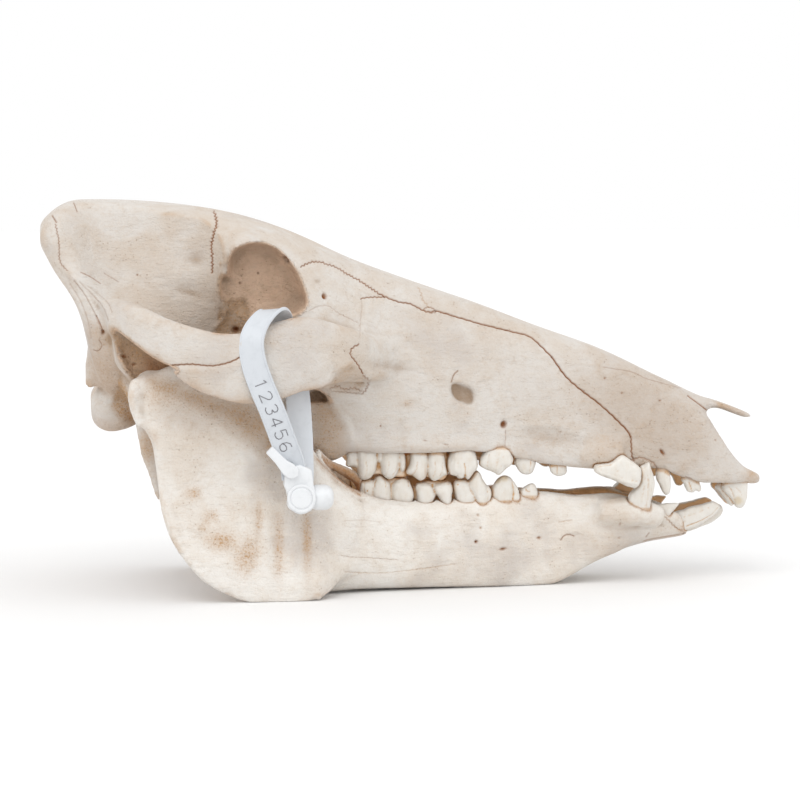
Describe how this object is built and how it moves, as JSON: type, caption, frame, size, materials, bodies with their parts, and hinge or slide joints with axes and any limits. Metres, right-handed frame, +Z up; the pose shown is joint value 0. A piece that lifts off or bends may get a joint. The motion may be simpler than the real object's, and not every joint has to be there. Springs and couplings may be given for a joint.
{
  "type": "bush pig skull",
  "caption": "Bleached skull of a young bush pig, jaws closed, resting on its lower jaw, with a white plastic loop tag round the right cheek arch.",
  "frame": {"origin": "on the floor under the middle of the skull's bounding box", "axes": "+X towards the snout, +Y towards the animal's left side, +Z up"},
  "size_m": [0.2866, 0.1367, 0.1535],
  "materials": {
    "bone": "matt, bleached and faintly stained",
    "enamel": "satin",
    "plastic": "satin white"
  },
  "bodies": {
    "root": {"cranium": "bone", "mandible": "bone", "upper_incisor_1_right": "enamel", "upper_incisor_1_left": "enamel", "upper_incisor_2_right": "enamel", "upper_incisor_2_left": "enamel", "upper_incisor_3_right": "enamel", "upper_incisor_3_left": "enamel", "upper_canine_right": "enamel", "upper_canine_left": "enamel", "upper_premolar_1_right": "enamel", "upper_premolar_1_left": "enamel", "upper_premolar_2_right": "enamel", "upper_premolar_2_left": "enamel", "upper_premolar_3_right": "enamel", "upper_premolar_3_left": "enamel", "upper_premolar_4_right": "enamel", "upper_premolar_4_left": "enamel", "upper_molar_1_right": "enamel", "upper_molar_1_left": "enamel", "upper_molar_2_right": "enamel", "upper_molar_2_left": "enamel", "lower_incisor_1_right": "enamel", "lower_incisor_1_left": "enamel", "lower_incisor_2_right": "enamel", "lower_incisor_2_left": "enamel", "lower_incisor_3_right": "enamel", "lower_incisor_3_left": "enamel", "lower_canine_right": "enamel", "lower_canine_left": "enamel", "lower_premolar_2_right": "enamel", "lower_premolar_2_left": "enamel", "lower_premolar_3_right": "enamel", "lower_premolar_3_left": "enamel", "lower_premolar_4_right": "enamel", "lower_premolar_4_left": "enamel", "lower_molar_1_right": "enamel", "lower_molar_1_left": "enamel", "lower_molar_2_right": "enamel", "lower_molar_2_left": "enamel", "tag": "plastic"}
  },
  "joints": []
}
